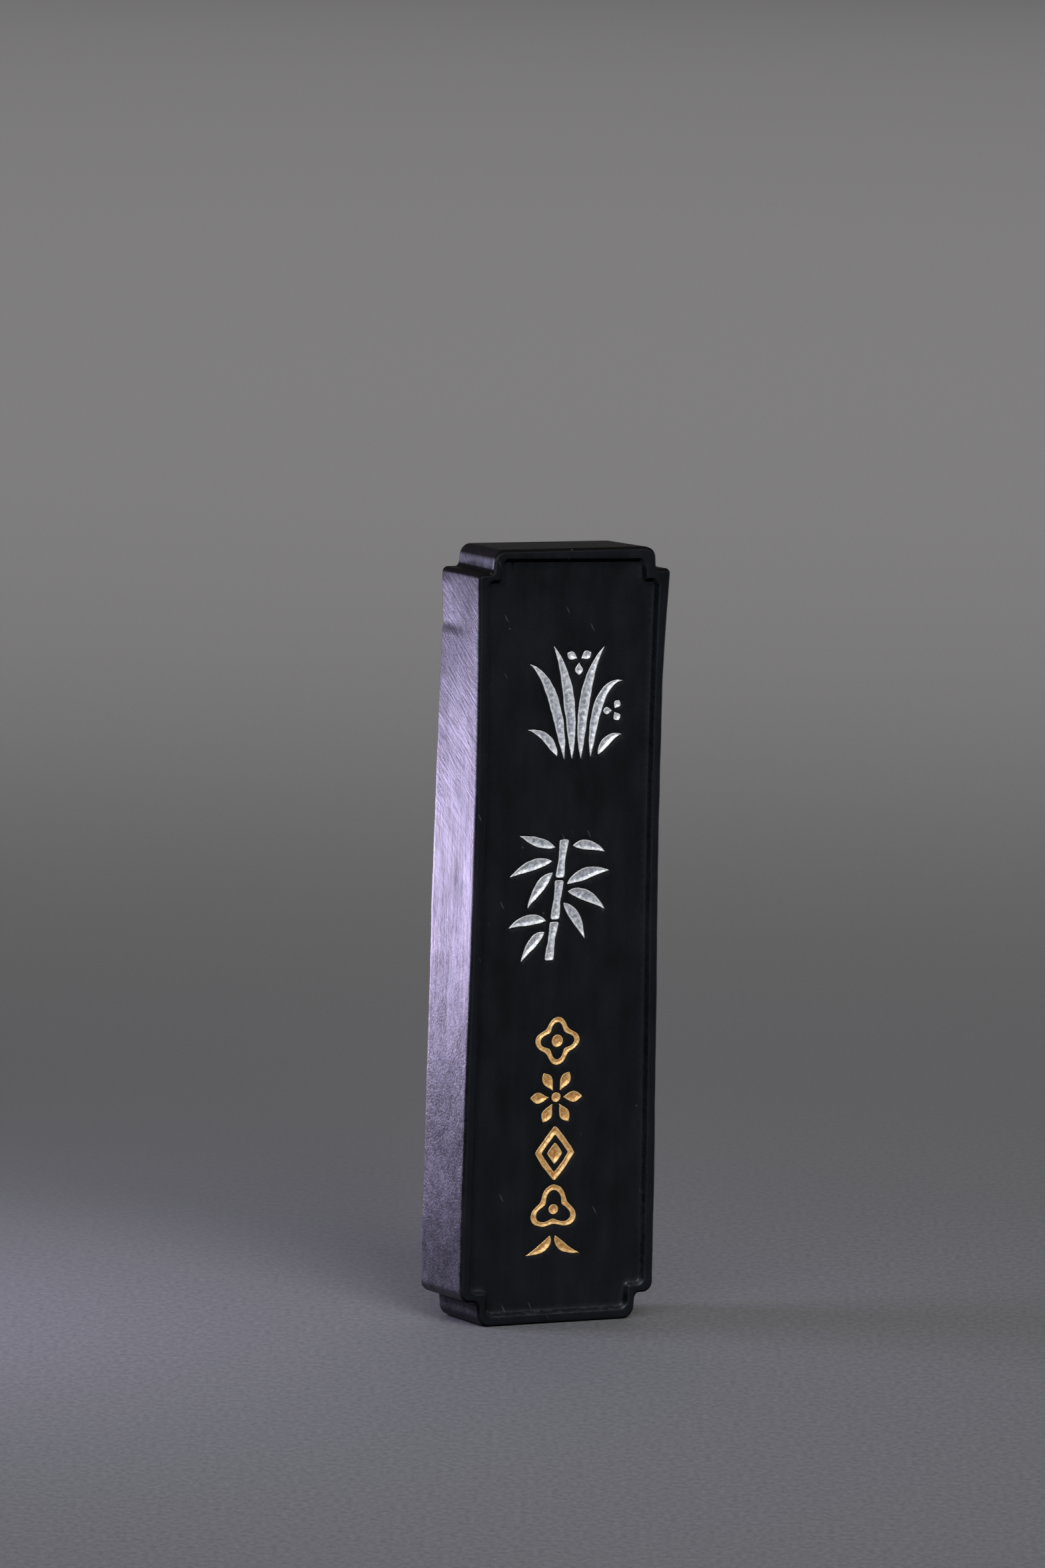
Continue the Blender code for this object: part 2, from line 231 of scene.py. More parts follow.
def grown(outline, gap):
    """Anticlockwise outline pushed outwards by a gap, a little less at sharp tips."""
    to_this = outline - np.roll(outline, 1, 0)
    to_next = np.roll(outline, -1, 0) - outline
    to_this /= np.linalg.norm(to_this, axis=1, keepdims=True)
    to_next /= np.linalg.norm(to_next, axis=1, keepdims=True)
    way = to_this + to_next
    normal = np.stack((way[:, 1], -way[:, 0]), 1)
    length = np.linalg.norm(normal, axis=1, keepdims=True)
    return outline + normal / length * gap * np.minimum(2 / length, TIP_REACH)


def inside(points, loop):
    """Which points lie inside a closed loop."""
    result = np.zeros(len(points), bool)
    px, pz = points.T
    ends = np.roll(loop, -1, 0)
    for (ax, az), (bx, bz) in zip(loop, ends):
        crosses = (az > pz) != (bz > pz)
        if crosses.any():
            at = ax + (pz - az) * (bx - ax) / ((bz - az) or TINY)
            result ^= crosses & (px < at)
    return result


def within(points, loops):
    """Which points lie inside the first loop and outside the others, its holes."""
    result = inside(points, loops[0])
    for hole in loops[1:]:
        result &= ~inside(points, hole)
    return result


def distance_to(points, loops):
    """Distance from each point to the nearest of the loops."""
    nearest = np.full(len(points), np.inf)
    for loop in loops:
        ends = np.roll(loop, -1, 0)
        for a, b in zip(loop, ends):
            along = b - a
            share = np.clip((points - a) @ along / max(along @ along, TINY), 0, 1)
            gap = points - a - share[:, None] * along
            nearest = np.minimum(nearest, np.hypot(gap[:, 0], gap[:, 1]))
    return nearest


def grid_points(low, high, spacing, seed):
    """Staggered grid over a box, lightly shuffled."""
    rng = np.random.default_rng(seed)
    xs = np.arange(low[0], high[0], spacing)
    zs = np.arange(low[1], high[1], spacing * GRID_ROW_STEP)
    points = np.array([(x + spacing / 2 * (row % 2), z) for row, z in enumerate(zs) for x in xs])
    return points + rng.uniform(-GRID_SHUFFLE, GRID_SHUFFLE, points.shape) * spacing


def fill(loops, solid, spacing, seed):
    """Triangles over the area that solid(points) says is filled, keeping every loop's points.

    Returns the points, loops first in order, and the triangles.
    """
    every = np.concatenate(loops)
    inner = grid_points(every.min(0), every.max(0), spacing, seed)
    inner = inner[solid(inner)]
    inner = inner[distance_to(inner, loops) > spacing * CLEAR_OF_LOOPS]
    points = np.concatenate((every, inner))
    edges = []
    start = 0
    for loop in loops:
        count = len(loop)
        edges += [(start + i, start + (i + 1) % count) for i in range(count)]
        start += count
    out, _, faces, _, _, _ = delaunay_2d_cdt([Vector(p) for p in points], edges, [], 0, WELD)
    out = np.array([tuple(p) for p in out])
    if len(out) != len(points):
        raise ValueError(f"the fill changed {len(points)} points to {len(out)}")
    faces = np.array(faces)
    faces = faces[solid(out[faces].mean(1))]
    return out, faces


# ---------------------------------------------------------------- mesh building

class Shell:
    """Vertices and faces of one piece, gathered before it becomes a mesh."""

    def __init__(self):
        self.points = []
        self.faces = []
        self.count = 0

    def add(self, points):
        """Adds an (n, 3) array of points and returns their numbers."""
        self.points.append(points)
        self.count += len(points)
        return np.arange(self.count - len(points), self.count)

    def bridge(self, ring, other, flip=False):
        """Quads from one closed ring of points to the next; flip turns them over."""
        if flip:
            ring, other = other, ring
        after = np.roll(ring, -1)
        other_after = np.roll(other, -1)
        self.faces += np.stack((ring, after, other_after, other), 1).tolist()

    def cap(self, faces, numbers, flip):
        """Triangles whose corners index numbers."""
        faces = numbers[faces]
        self.faces += (faces[:, ::-1] if flip else faces).tolist()

    def mesh(self, name):
        """The finished mesh, in metres, smooth shaded."""
        made = bpy.data.meshes.new(name)
        made.from_pydata(np.concatenate(self.points) * MM, [], self.faces)
        made.shade_smooth()
        made.update()
        return made


def face_loops(node):
    """Outlines of a CAD pigment's front face, anticlockwise, in millimetres, outer one first."""
    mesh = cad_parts[node].data
    co = np.array([tuple(v.co) for v in mesh.vertices]) / MM
    front = co[:, 1].min()
    key = {}
    number = [key.setdefault(tuple(np.round(p, 4)), len(key)) for p in co]
    place = np.array(list(key))
    sides = set()
    for face in mesh.polygons:
        if all(co[v][1] < front + SAME_FACE for v in face.vertices):
            ring = [number[v] for v in face.vertices]
            sides.update(zip(ring, ring[1:] + ring[:1]))
    after = {a: b for a, b in sides if (b, a) not in sides}
    loops = []
    while after:
        start, at = after.popitem()
        loop = [start]
        while at != start:
            loop.append(at)
            at = after.pop(at)
        loops.append(place[loop][:, (0, 2)])
    loops.sort(key=lambda loop: -abs(area(loop)))
    return [loop if area(loop) > 0 else loop[::-1] for loop in loops]


def area(loop):
    """Signed area inside a loop."""
    x, z = loop.T
    return (x * np.roll(z, -1) - np.roll(x, -1) * z).sum() / 2


def resampled(loop, spacing):
    """Loop with points added along its longer sides, on a smooth line except at sharp corners."""
    result = []
    count = len(loop)
    for i in range(count):
        a, b = loop[i], loop[(i + 1) % count]
        before, after = loop[i - 1], loop[(i + 2) % count]
        steps = max(1, int(round(np.linalg.norm(b - a) / spacing)))
        t_in = tangent(before, a, b)
        t_out = tangent(a, b, after)
        length = np.linalg.norm(b - a)
        for step in range(steps):
            t = step / steps
            h1 = 2 * t ** 3 - 3 * t ** 2 + 1
            h2 = t ** 3 - 2 * t ** 2 + t
            h3 = t ** 3 - t ** 2
            result.append(h1 * a + (1 - h1) * b + (h2 * t_in[1] + h3 * t_out[0]) * length)
    return np.array(result)


def tangent(a, b, c):
    """Unit directions to arrive at and leave b, the same unless the corner is sharp."""
    first = (b - a) / np.linalg.norm(b - a)
    second = (c - b) / np.linalg.norm(c - b)
    if first @ second < SHARP_CORNER:
        return first, second
    way = (first + second) / np.linalg.norm(first + second)
    return way, way


def add_piece(name, mesh, made, material_slot, *nodes):
    """Puts a finished mesh in the scene as one piece that stands for CAD nodes."""
    piece = bpy.data.objects.new(name, mesh)
    bpy.context.scene.collection.objects.link(piece)
    mesh.materials.append(made)
    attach(piece, "root")
    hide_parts(*nodes)
    return piece


def wave(points, scale, seed):
    """Smooth noise from -1 to 1 at each point; scale is (x, y, z) waves per millimetre."""
    shift = Vector([seed * step for step in WAVE_SHIFT])
    scaled = points * np.array(scale)
    return np.array([noise.noise(Vector(p) + shift) for p in scaled]) * 2


def wandering(loop):
    """Outline a little unsteady, as cut and painted by hand; close outlines shift together."""
    places = np.insert(loop, 1, 0, axis=1)
    across, up = (wave(places, (EDGE_WAVES, 1, EDGE_WAVES), seed) for seed in (5, 6))
    return loop + EDGE_WANDER * np.stack((across, up), 1)


def weathered(points):
    """Cake points with the slow swell and small mould ledge of the sides and the uneven top."""
    x, y, z = points.T
    side = np.sign(x)
    on_side = ramp(np.abs(x) / front_half_width(z), *ON_SIDE_SHARE)
    place = np.stack((side * SIDES_APART, y, z), 1)
    swell = wave(place, SIDE_SWELL_WAVES, 2) * SIDE_SWELL
    swell += wave(place, SIDE_RIPPLE_WAVES, 3) * SIDE_RIPPLE
    back_left = (side < 0) * ramp(y, *BACK_DEPTH)
    ledge = ramp(z, MOULD_LEDGE_Z, MOULD_LEDGE_Z - MOULD_LEDGE_HEIGHT) - 0.5
    hollow = ramp(z, *HOLLOW_Z) - HOLLOW_END * ramp(z, *HOLLOW_END_Z)
    swell += back_left * (MOULD_LEDGE * ledge - BACK_LEFT_HOLLOW * hollow)
    swell += RIGHT_TOP_FLARE * (side > 0) * ramp(z, *FLARE_Z) ** FLARE_CURVE
    result = points.copy()
    result[:, 0] += side * on_side * swell
    frontness = 0.5 - y / THICKNESS
    leftness = 0.5 - x / BOTTOM_HALF_WIDTH / 2
    lift = FRONT_TOP_LIFT * frontness + LEFT_TOP_LIFT * leftness * (1 - frontness / 2)
    result[:, 2] += lift * ramp(z, *LIFT_Z)
    return result


# ---------------------------------------------------------------- the cake

def cake_rings(panel, side):
    """Rings of one face, from the end of the side wall in to the panel floor: (outline, depth)."""
    cake = cake_outline()
    face = THICKNESS / 2
    rings = []
    for step in range(EDGE_RINGS + 1):
        angle = math.radians(90 / EDGE_RINGS * step)
        inset = EDGE_ROUND * (1 - math.cos(angle))
        rings.append((grown(cake, -inset), side * (face - EDGE_ROUND * (1 - math.sin(angle)))))
    rim_outer = grown(cake, -EDGE_ROUND)
    wall_top = grown(panel, PANEL_WALL)
    for share in RIM_RINGS:
        rings.append((rim_outer + (wall_top - rim_outer) * share, side * face))
    for step in range(PANEL_WALL_RINGS + 1):
        share = step / PANEL_WALL_RINGS
        drop = PANEL_DEPTH * share * share * (3 - 2 * share)
        rings.append((wall_top + (panel - wall_top) * share, side * (face - drop)))
    return rings


def cake_outline():
    """Outline of the cake, unwarped."""
    radii = (CAKE_TOP_RADII, CAKE_BOTTOM_RADII)
    outline = notched_outline(BOTTOM_HALF_WIDTH, 0, HEIGHT, TOP_NOTCH, BOTTOM_NOTCH, *radii)
    x, z = outline.T
    in_notch = ramp(x, *NOTCH_WALL_X) * ramp(x, *NOTCH_WALL_END_X) * ramp(z, *NOTCH_WALL_Z)
    outline[:, 0] += RIGHT_NOTCH_SHIFT * in_notch
    return outline


def panel_floor_outline():
    """Outline of the panel floor, unwarped."""
    top = [size - PANEL_NOTCH_SHRINK for size in TOP_NOTCH]
    top[1] += RIM - TOP_RIM
    bottom = [size - PANEL_NOTCH_SHRINK for size in BOTTOM_NOTCH]
    size = (BOTTOM_HALF_WIDTH - RIM, RIM, HEIGHT - TOP_RIM)
    outline = notched_outline(*size, top, bottom, PANEL_RADII, PANEL_RADII)
    x, z = outline.T
    outline[:, 1] -= PANEL_TOP_TILT * x / BOTTOM_HALF_WIDTH * ramp(z, *PANEL_TILT_Z)
    return outline


def flat(points):
    """(x, z) of (x, y, z) points."""
    return points[:, (0, 2)]


def at_depth(outline, depth):
    """(x, z) points placed at a depth y, unwarped."""
    return np.insert(outline, 1, depth, axis=1)


def build_cake(paint_loops):
    """The whole cake as one closed mesh."""
    shell = Shell()
    panel = panel_floor_outline()
    front = [shell.add(weathered(warped(*ring))) for ring in cake_rings(panel, -1)]
    back = [shell.add(weathered(warped(*ring))) for ring in cake_rings(panel, 1)]
    for rings, flip in ((front, False), (back, True)):
        for ring, inner in zip(rings, rings[1:]):
            shell.bridge(ring, inner, flip)

    cake = cake_outline()
    reach = THICKNESS / 2 - EDGE_ROUND
    depths = np.linspace(reach, -reach, SIDE_WALL_RINGS + 1)[1:-1]
    walls = [back[0]] + [shell.add(weathered(warped(cake, depth))) for depth in depths] + [front[0]]
    for ring, nearer in zip(walls, walls[1:]):
        shell.bridge(ring, nearer)

    outer = flat(warped(panel, PANEL_FLOOR))
    lips = []
    lip = LIP_PROFILE[0][0]
    for loops in paint_loops:
        lips.append([grown(loops[0], lip)] + [grown(hole, -lip) for hole in loops[1:]])

    def on_floor(points):
        covered = inside(points, outer)
        for loops in lips:
            covered &= ~within(points, loops)
        return covered

    rims = [outer] + [loop for loops in lips for loop in loops]
    points, faces = fill(rims, on_floor, FLOOR_SPACING, 1)
    placed = at_depth(points, PANEL_FLOOR)
    first = len(outer)
    numbers = np.concatenate((front[-1], shell.add(placed[first:])))
    shell.cap(faces, numbers, False)
    start = first
    for loops in paint_loops:
        sinks = []
        for index, loop in enumerate(loops):
            ring = numbers[start:start + len(loop)]
            start += len(loop)
            way = 1 if index == 0 else -1
            for gap, drop in LIP_PROFILE[1:] + ((LIP_PROFILE[-1][0], POCKET_DEPTH),):
                inner = shell.add(at_depth(grown(loop, way * gap), PANEL_FLOOR + drop))
                shell.bridge(ring, inner, way < 0)
                ring = inner
            sinks.append((ring, grown(loop, way * LIP_PROFILE[-1][0])))
        bottoms = [outline for _, outline in sinks]
        points, faces = fill(bottoms, lambda p: within(p, bottoms), POCKET_SPACING, 2)
        extra = shell.add(at_depth(points[sum(map(len, bottoms)):], PANEL_FLOOR + POCKET_DEPTH))
        numbers_here = np.concatenate([ring for ring, _ in sinks] + [extra])
        shell.cap(faces, numbers_here, False)

    outer = flat(warped(panel, -PANEL_FLOOR))
    points, faces = fill([outer], lambda p: inside(p, outer), FLOOR_SPACING, 3)
    numbers = np.concatenate((back[-1], shell.add(at_depth(points[len(outer):], -PANEL_FLOOR))))
    shell.cap(faces, numbers, True)
    return shell


paint_nodes = sorted(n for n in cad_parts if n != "ink_body")
paint_loops = {}
for node in paint_nodes:
    outlines = [resampled(loop, PAINT_OUTLINE_SPACING) for loop in face_loops(node)]
    paint_loops[node] = [wandering(outline) for outline in outlines]

cake_mesh = build_cake(list(paint_loops.values())).mesh("ink_cake")


# ---------------------------------------------------------------- materials

# A mix node's sockets for colours: share, first and second, and its result
MIX_COLOUR_INPUTS = (0, 6, 7)
MIX_COLOUR_OUTPUT = 2

INK_DEEP = (0.0004, 0.0006, 0.0010)
INK_PALE = (0.0036, 0.0042, 0.0068)
# Painted shade: darker ink for the panel's walls
PANEL_WALL_PAINTED_SHADE = (0.0004, 0.0004, 0.0006)
# Painted warm light from above, for the up-facing ledges
LEDGE_PAINTED_LIGHT = (0.0052, 0.0046, 0.0042)
DUST = (0.10, 0.098, 0.105)
DUST_COVER = 0.42
FACE_GLOSS = 0.42
MATT_GLOSS = 0.06
MATT_ROUGHNESS = 0.35
FACE_TINT = (0.86, 0.93, 1.0)
SIDE_WARM_TINT = (1.0, 0.94, 0.98)
SIDE_COOL_TINT = (0.86, 0.88, 1.0)

# Painted sheen and shade on the sides: gloss bands up the stick that shape the sheen by height, as
# (height where one starts, height where it is full, amount)
SIDE_SHEEN_BANDS = (
    (58.0, 74.0, 0.22),
    (45.0, 34.0, 0.31),
    (20.0, 12.0, -0.44),
    (3.6, 2.6, 0.95),
    (2.0, 1.4, -0.6),
    (76.0, 83.0, 0.24),
    (87.8, 88.4, -0.95),
)
# Painted sheen colour: bands up the sides where the sheen's tint turns cooler
COOL_ENDS = ((56.0, 76.0, 0.25), (42.0, 26.0, 0.25))

# Where the sides, the ledges and the panel's walls start and where they are full
SIDE_FACING = (0.3, 0.8)
LEDGE_FACING = (0.05, 0.36)
FOOT_WALL_FACING = (0.1, 0.4)
FOOT_WALL_Z = (9.0, 5.0)
FOOT_WALL_Y = (-3.9, -4.25)
PANEL_WALL_FACING = (0.97, 0.8)
PANEL_WALL_Y = (-4.0, -4.2)
BRIGHT_WALL_FACING = (-0.15, -0.4)
BRIGHT_WALL_X = (2.0, 4.0)

# Paint colours from dark to pale; the pale end is reached along the stroke edges, a painted
# highlight
SILVER_DARK, SILVER_PALE = (0.33, 0.35, 0.41), (0.97, 0.99, 1.0)
GOLD_DARK, GOLD_PALE = (0.55, 0.25, 0.06), (1.0, 0.68, 0.30)
PAINT_ROUGHNESS = (0.34, 0.52)

class Surface:
    """A material and short ways to add nodes to it; lengths inside it are in millimetres."""

    def __init__(self, name):
        self.made = bpy.data.materials.new(name)
        self.made.use_nodes = True
        self.tree = self.made.node_tree
        self.shader = self.tree.nodes["Principled BSDF"]
        place = self.tree.nodes.new("ShaderNodeTexCoord").outputs["Object"]
        self.place = self.vector("SCALE", place, factor=1 / MM)
        self.x, self.y, self.z = self.split(self.place)

    def set(self, name, value):
        """Sets a shader input to a plain value or links it to a node's output."""
        if isinstance(value, bpy.types.NodeSocket):
            self.tree.links.new(value, self.shader.inputs[name])
        else:
            self.shader.inputs[name].default_value = value

    def feed(self, node, *values):
        """Links or sets a node's inputs in order."""
        for socket, value in zip(node.inputs, values):
            if isinstance(value, bpy.types.NodeSocket):
                self.tree.links.new(value, socket)
            elif value is not None:
                socket.default_value = value
        return node.outputs[0]

    def vector(self, operation, a, b=None, factor=None):
        """One arithmetic step on vectors."""
        node = self.tree.nodes.new("ShaderNodeVectorMath")
        node.operation = operation
        if factor is not None:
            node.inputs["Scale"].default_value = factor
        return self.feed(node, a, b)

    def math(self, operation, a, b=None):
        """One arithmetic step on two numbers."""
        node = self.tree.nodes.new("ShaderNodeMath")
        node.operation = operation
        return self.feed(node, a, b)

    def split(self, vector):
        """The three numbers of a vector."""
        node = self.tree.nodes.new("ShaderNodeSeparateXYZ")
        self.feed(node, vector)
        return node.outputs

    def normal(self):
        """The three numbers of the surface's direction."""
        return self.split(self.tree.nodes.new("ShaderNodeNewGeometry").outputs["Normal"])

    def turned(self, turn):
        """The place, turned about x, y and z by angles in degrees."""
        node = self.tree.nodes.new("ShaderNodeMapping")
        node.inputs["Rotation"].default_value = [math.radians(angle) for angle in turn]
        self.tree.links.new(self.place, node.inputs["Vector"])
        return node.outputs[0]

    def noise(self, waves, detail=2.0, turn=(0, 0, 0), distortion=0.0):
        """Noise with (x, y, z) waves per millimetre along turned axes."""
        node = self.tree.nodes.new("ShaderNodeTexNoise")
        node.inputs["Scale"].default_value = 1.0
        node.inputs["Detail"].default_value = detail
        node.inputs["Distortion"].default_value = distortion
        place = self.vector("MULTIPLY", self.turned(turn), waves)
        self.tree.links.new(place, node.inputs["Vector"])
        return node.outputs["Fac"]

    def specks(self, cell, size, share, turn=(0, 0, 0)):
        """Marks of (x, y, z) size along turned axes, 1 inside, one in a share of the cells."""
        node = self.tree.nodes.new("ShaderNodeTexVoronoi")
        node.inputs["Scale"].default_value = 1.0
        waves = [max(size) / (cell * length) for length in size]
        place = self.vector("MULTIPLY", self.turned(turn), waves)
        self.tree.links.new(place, node.inputs["Vector"])
        radius = 0.5 * max(size) / cell
        near = self.ranged(node.outputs["Distance"], radius, 0.5 * radius)
        chosen = self.math("GREATER_THAN", self.split(node.outputs["Color"])[0], 1 - share)
        return self.math("MULTIPLY", near, chosen)

    def ranged(self, value, low, high, to_low=0.0, to_high=1.0):
        """Value carried from one range to another and kept within it."""
        node = self.tree.nodes.new("ShaderNodeMapRange")
        return self.feed(node, value, low, high, to_low, to_high)

    def banded(self, value, bands):
        """Sum of bands, each rising from nothing at its start to its amount where it is full."""
        total = 0.0
        for start, full, amount in bands:
            total = self.math("ADD", total, self.ranged(value, start, full, 0.0, amount))
        return total

    def mix(self, share, first, second):
        """Colour or number between two."""
        node = self.tree.nodes.new("ShaderNodeMix")
        node.data_type = "RGBA"
        sockets = [node.inputs[number] for number in MIX_COLOUR_INPUTS]
        for socket, value in zip(sockets, (share, first, second)):
            if isinstance(value, bpy.types.NodeSocket):
                self.tree.links.new(value, socket)
            elif socket.type == "RGBA":
                colour = value if isinstance(value, tuple) else (value, value, value)
                socket.default_value = (*colour, 1)
            else:
                socket.default_value = value
        return node.outputs[MIX_COLOUR_OUTPUT]

    def bump(self, *layers):
        """Relief from (height, depth in millimetres, strength) layers."""
        normal = None
        for height, depth, strength in layers:
            node = self.tree.nodes.new("ShaderNodeBump")
            self.feed(node, strength, depth * MM)
            self.tree.links.new(height, node.inputs["Height"])
            if normal:
                self.tree.links.new(normal, node.inputs["Normal"])
            normal = node.outputs[0]
        self.set("Normal", normal)


def ink_material():
    """Black ink, satin where the mould pressed it: hair lines, upright grain and a little dust,
    with painted shade on the panel's walls, painted warm light on the ledges and a painted sheen up
    the sides.
    """
    ink = Surface("ink")
    across, out, up = ink.normal()
    side = ink.ranged(ink.math("ABSOLUTE", across), *SIDE_FACING)
    ledge = ink.ranged(up, *LEDGE_FACING)

    upper = ink.ranged(ink.z, 50.0, 68.0)
    lower = ink.ranged(ink.z, 46.0, 26.0)
    hair = ink.noise((1.0, 3.4, 0.42), 4.0, (54.6, 0, 0))
    grain = ink.noise((2.2, 2.2, 0.16), 3.0, distortion=0.3)
    broad = ink.noise((0.7, 0.9, 0.09), 2.0)
    cloud = ink.noise((0.3, 0.3, 0.17), 4.0)
    mottle = ink.noise((1.5, 1.5, 0.9), 4.0, (35.0, 0, 0))
    pebble = ink.noise((5.0, 5.0, 3.5), 2.0)
    head = ink.mix(0.62, ink.mix(0.5, grain, mottle), hair)
    middle = ink.mix(0.35, ink.mix(0.4, grain, broad), mottle)
    foot = ink.mix(0.35, mottle, pebble)
    streak = ink.mix(upper, ink.mix(lower, middle, foot), head)

    foot_wall = ink.ranged(up, *FOOT_WALL_FACING)
    foot_wall = ink.math("MULTIPLY", foot_wall, ink.ranged(ink.z, *FOOT_WALL_Z))
    foot_wall = ink.math("MULTIPLY", foot_wall, ink.ranged(ink.y, *FOOT_WALL_Y))
    ledge = ink.math("MULTIPLY", ledge, ink.math("SUBTRACT", 1.0, foot_wall))
    crumbs = ink.ranged(ink.noise((1.4, 2.0, 2.0), 3.0), 0.44, 0.66, 0.1, 0.45)
    dust = ink.math("MULTIPLY", foot_wall, crumbs)
    dust = ink.math("MAXIMUM", dust, ink.specks(2.6, (0.3, 0.3, 0.3), 0.15))
    dust = ink.math("MAXIMUM", dust, ink.specks(4.0, (0.2, 0.6, 1.3), 0.1, (0, 28.0, 0)))

    # Painted shade on the panel's walls: darker, matt ink there, except on the sides, the foot wall
    # and the right wall
    shaded_wall = ink.ranged(ink.math("ABSOLUTE", out), *PANEL_WALL_FACING)
    shaded_wall = ink.math("MULTIPLY", shaded_wall, ink.ranged(ink.y, *PANEL_WALL_Y))
    bright_wall = ink.ranged(across, *BRIGHT_WALL_FACING)
    bright_wall = ink.math("MULTIPLY", bright_wall, ink.ranged(ink.x, *BRIGHT_WALL_X))
    spared = ink.math("MAXIMUM", ink.math("MAXIMUM", side, foot_wall), bright_wall)
    shaded_wall = ink.math("MULTIPLY", shaded_wall, ink.math("SUBTRACT", 1.0, spared))
    matt = ink.math("MAXIMUM", ledge, shaded_wall)

    soot = ink.mix(0.5, cloud, ink.mix(0.3, broad, pebble))
    black = ink.mix(ink.ranged(soot, 0.38, 0.62), INK_DEEP, INK_PALE)
    # Painted warm light on the up-facing ledges, over the painted shade of the panel's walls
    black = ink.mix(ledge, ink.mix(shaded_wall, black, PANEL_WALL_PAINTED_SHADE), LEDGE_PAINTED_LIGHT)
    ink.set("Base Color", ink.mix(ink.math("MULTIPLY", dust, DUST_COVER), black, DUST))
    polish = ink.ranged(cloud, 0.3, 0.7, 0.355, 0.41)
    ink.set("Roughness", ink.math("ADD", polish, ink.math("MULTIPLY", matt, MATT_ROUGHNESS)))

    gloss = ink.ranged(streak, 0.38, 0.60, 0.30, 0.80)
    gloss = ink.math("MULTIPLY", gloss, ink.ranged(cloud, 0.3, 0.7, 0.85, 1.15))
    # Gloss bands by height: painted sheen and shade on the sides
    sheen_by_height = ink.math("SUBTRACT", 1.0, ink.banded(ink.z, SIDE_SHEEN_BANDS))
    gloss = ink.mix(side, FACE_GLOSS, ink.math("MULTIPLY", gloss, sheen_by_height))
    # The plain value stands where the linked one can't be read
    ink.set("Specular IOR Level", FACE_GLOSS)
    gloss = ink.math("MULTIPLY", gloss, ink.ranged(matt, 0.0, 1.0, 1.0, MATT_GLOSS))
    ink.set("Specular IOR Level", gloss)

    # The sheen's tint on the sides: partly random tone, partly a painted sheen colour in cooler
    # bands by height
    cool = ink.math("ADD", ink.noise((0.5, 0.5, 0.25), 3.0), ink.banded(ink.z, COOL_ENDS))
    side_tint = ink.mix(ink.ranged(cool, 0.35, 0.75), SIDE_WARM_TINT, SIDE_COOL_TINT)
    ink.set("Specular Tint", ink.mix(side, FACE_TINT, side_tint))
    ink.bump((streak, 0.05, ink.ranged(side, 0.0, 1.0, 0.15, 1.0)), (pebble, 0.014, 1.0))
    return ink.made


def paint_material(name, dark_tone, pale_tone):
    """Metal powder paint: lighter along the edges of its groove, a painted highlight, greyer in the
    middle, and grainy.
    """
    paint = Surface(name)
    reach = paint.tree.nodes.new("ShaderNodeAttribute")
    reach.attribute_name = "reach"
    # Painted highlight: the paint is lighter near the edges of each stroke
    edge_highlight = paint.ranged(reach.outputs["Fac"], 0.12, 0.36, 1.0, 0.0)
    brushed = paint.noise((2.6, 2.6, 2.6), 3.0, distortion=0.4)
    grains = paint.noise((9.0, 9.0, 9.0), 2.0)
    body = paint.ranged(brushed, 0.36, 0.64, -0.1, 0.6)
    body = paint.math("ADD", paint.math("MULTIPLY", edge_highlight, 0.6), body)
    paint.set("Base Color", paint.mix(body, dark_tone, pale_tone))
    paint.set("Metallic", 0.3)
    paint.set("Roughness", paint.ranged(grains, 0.3, 0.7, *PAINT_ROUGHNESS))
    paint.bump((brushed, 0.04, 1.0), (grains, 0.015, 1.0))
    return paint.made


def build_paint(name, loops, seed):
    """One fill of paint, sunk in the middle like the groove it lines."""
    shell = Shell()
    points, faces = fill(loops, lambda p: within(p, loops), PAINT_SPACING, seed)
    rim = sum(map(len, loops))
    reach = np.zeros(len(points))
    reach[rim:] = distance_to(points[rim:], loops)
    share = ramp(reach, 0, PAINT_SLOPE)
    drop = PAINT_EDGE + (PAINT_DEPTH - PAINT_EDGE) * np.sin(share * np.pi / 2)
    ripple = wave(at_depth(points, 0), (PAINT_WAVES, 1, PAINT_WAVES), seed)
    drop += PAINT_RIPPLE * ripple * ramp(reach, 0, PAINT_CALM_EDGE)
    top = at_depth(points, PANEL_FLOOR)
    top[:, 1] += drop
    numbers = shell.add(top)
    shell.cap(faces, numbers, False)
    bottom = shell.add(at_depth(points, PANEL_FLOOR + PAINT_BOTTOM))
    shell.cap(faces, bottom, True)
    start = 0
    for index, loop in enumerate(loops):
        ring = numbers[start:start + len(loop)]
        under = bottom[start:start + len(loop)]
        shell.bridge(ring, under, index == 0)
        start += len(loop)
    made = shell.mesh(name)
    store = made.attributes.new("reach", "FLOAT", "POINT")
    store.data.foreach_set("value", np.concatenate((reach, reach)))
    return made


cake = add_piece("ink_cake", cake_mesh, ink_material(), "ink", "ink_body")
pigments = {
    "silver_pigment": paint_material("silver_paint", SILVER_DARK, SILVER_PALE),
    "gold_pigment": paint_material("gold_paint", GOLD_DARK, GOLD_PALE),
}
for number, (node, loops) in enumerate(paint_loops.items()):
    pigment = "silver_pigment" if node.startswith(("orchid", "bamboo")) else "gold_pigment"
    mesh = build_paint(node + "_paint", loops, PAINT_FIRST_SEED + number)
    add_piece(node + "_paint", mesh, pigments[pigment], pigment, node)


# ---------------------------------------------------------------- floor, lights, camera

